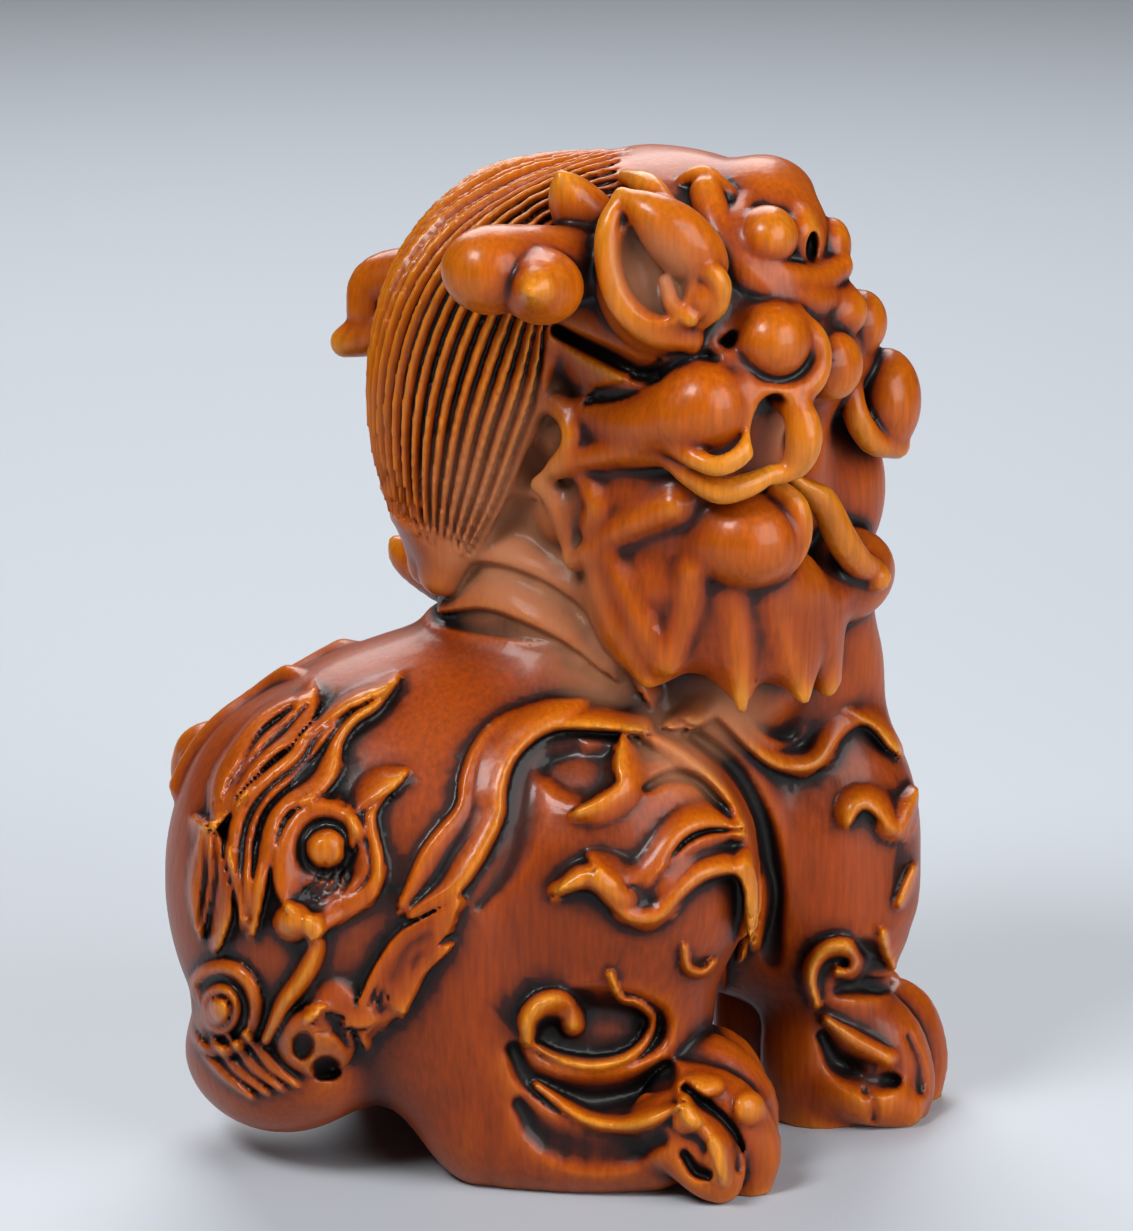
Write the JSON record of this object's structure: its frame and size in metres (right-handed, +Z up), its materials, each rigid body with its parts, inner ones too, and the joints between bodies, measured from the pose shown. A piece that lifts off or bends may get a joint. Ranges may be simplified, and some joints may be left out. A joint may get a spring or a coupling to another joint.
{
  "type": "carved animal statue",
  "caption": "Seated qilin carved from one block of boxwood, head turned to its right, standing on four flat soles; a hand-sized desk or shelf ornament.",
  "frame": {"origin": "middle of the bounding box, at the level of the soles", "axes": "+Z up, +X the way the chest faces, +Y the animal's left side"},
  "size_m": [0.0616, 0.0492, 0.0759],
  "materials": {
    "wood": "oiled and polished boxwood, amber on the high places and near black in the cuts"
  },
  "bodies": {
    "root": {"qilin": "wood"}
  },
  "joints": []
}
